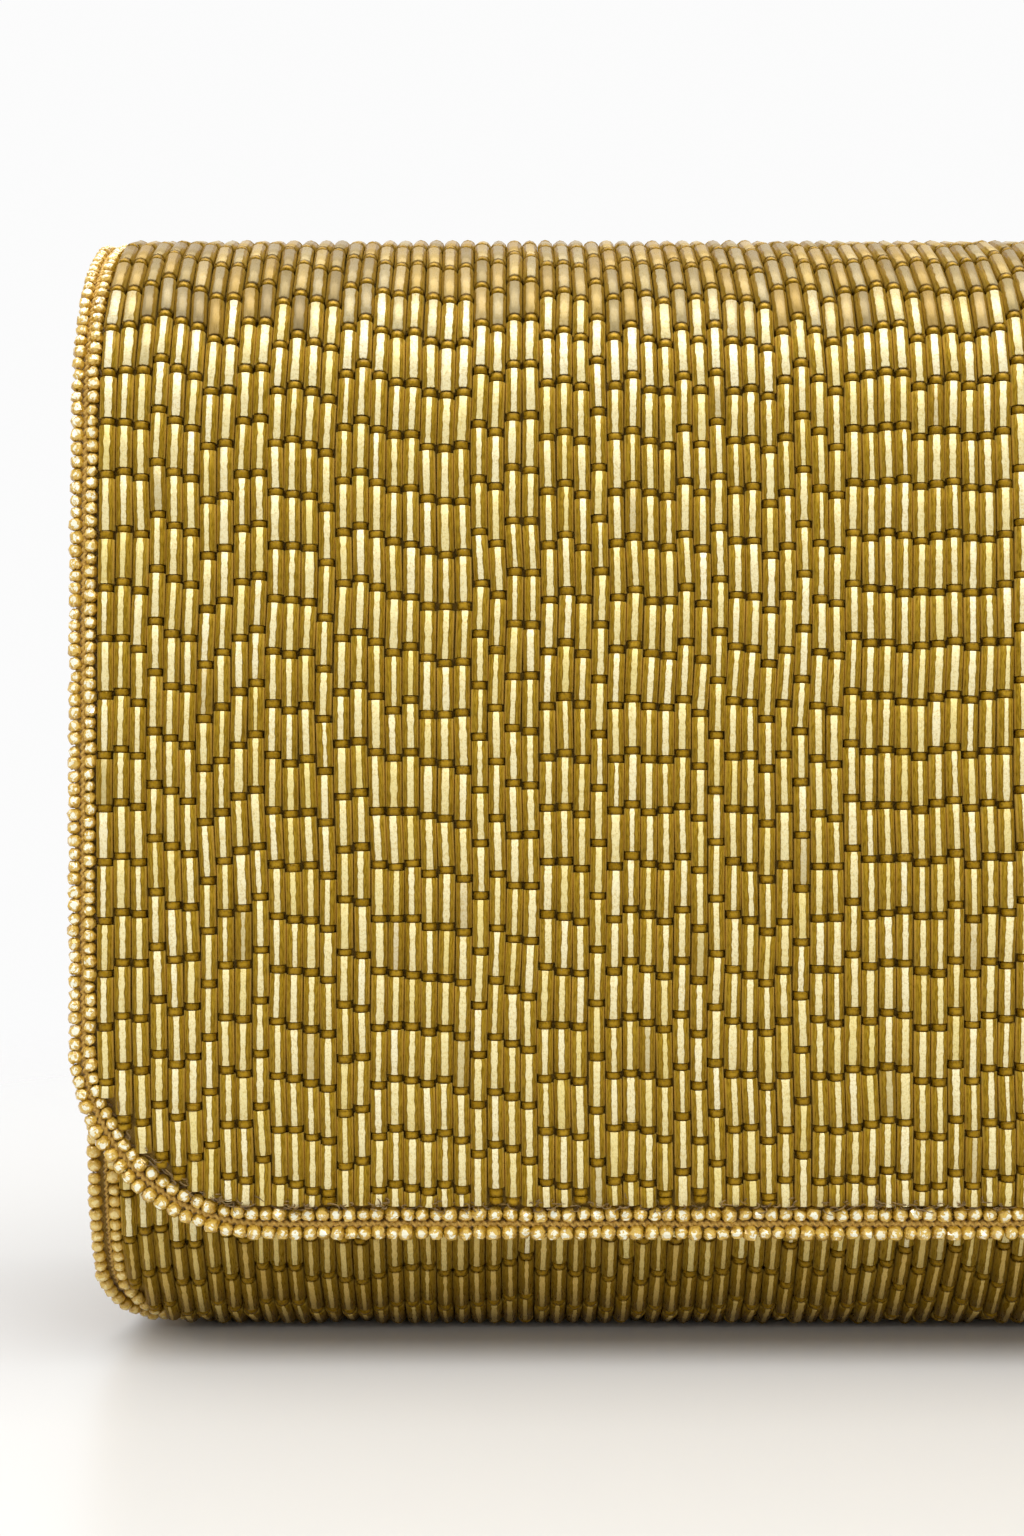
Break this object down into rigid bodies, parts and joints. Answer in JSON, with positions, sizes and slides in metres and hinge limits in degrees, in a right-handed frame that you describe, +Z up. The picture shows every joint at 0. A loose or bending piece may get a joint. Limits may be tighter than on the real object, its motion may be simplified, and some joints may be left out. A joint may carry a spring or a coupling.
{
  "type": "evening bag",
  "caption": "Stiff flap clutch covered in columns of gold bugle and seed beads, with a beaded double edge, satin end panels and a magnetic snap.",
  "frame": {"origin": "on the surface the bag stands on, under the middle of its bounding box", "axes": "+X along the bag's width, +Z up, and the front flap faces -Y"},
  "size_m": [0.23, 0.0546, 0.134],
  "materials": {
    "bugle_beads": "silver-lined pale gold glass",
    "trim_beads": "faceted gold glass",
    "gold_cord": "twisted metallic thread",
    "base_cloth": "matt woven cloth",
    "board": "matt grey board",
    "lining_satin": "satin",
    "gusset_satin": "satin",
    "gold_metal": "polished gold plate",
    "steel": "zinc plated",
    "magnet": "sintered ferrite"
  },
  "bodies": {
    "body": {"back_board": "board", "base_board": "board", "body_beadwork": "bugle_beads", "body_cloth": "base_cloth", "body_lining": "lining_satin", "front_board": "board", "hinge_tape": "lining_satin", "left_edge_cord": "gold_cord", "left_edge_inner_beads": "trim_beads", "left_edge_outer_beads": "trim_beads", "left_gusset": "gusset_satin", "left_gusset_board": "board", "left_gusset_lining": "lining_satin", "mouth_binding": "gusset_satin", "right_edge_cord": "gold_cord", "right_edge_inner_beads": "trim_beads", "right_edge_outer_beads": "trim_beads", "right_gusset": "gusset_satin", "right_gusset_board": "board", "right_gusset_lining": "lining_satin", "slip_pocket": "lining_satin", "slip_pocket_hem": "lining_satin", "snap_socket_backplate": "steel", "snap_socket_cap": "gold_metal", "snap_socket_magnet": "magnet"},
    "flap": {"flap_beadwork": "bugle_beads", "flap_cloth": "base_cloth", "flap_edge_binding": "gusset_satin", "flap_edge_cord": "gold_cord", "flap_edge_inner_beads": "trim_beads", "flap_edge_outer_beads": "trim_beads", "flap_front_board": "board", "flap_lining": "lining_satin", "flap_top_board": "board", "snap_stud": "gold_metal", "snap_stud_backplate": "steel"}
  },
  "joints": [
    {"name": "flap_hinge", "type": "hinge", "parent": "body", "child": "flap", "pos_m": [0, 0.02735, 0.106], "axis": [-1, 0, 0], "range_deg": [0, 150]}
  ]
}
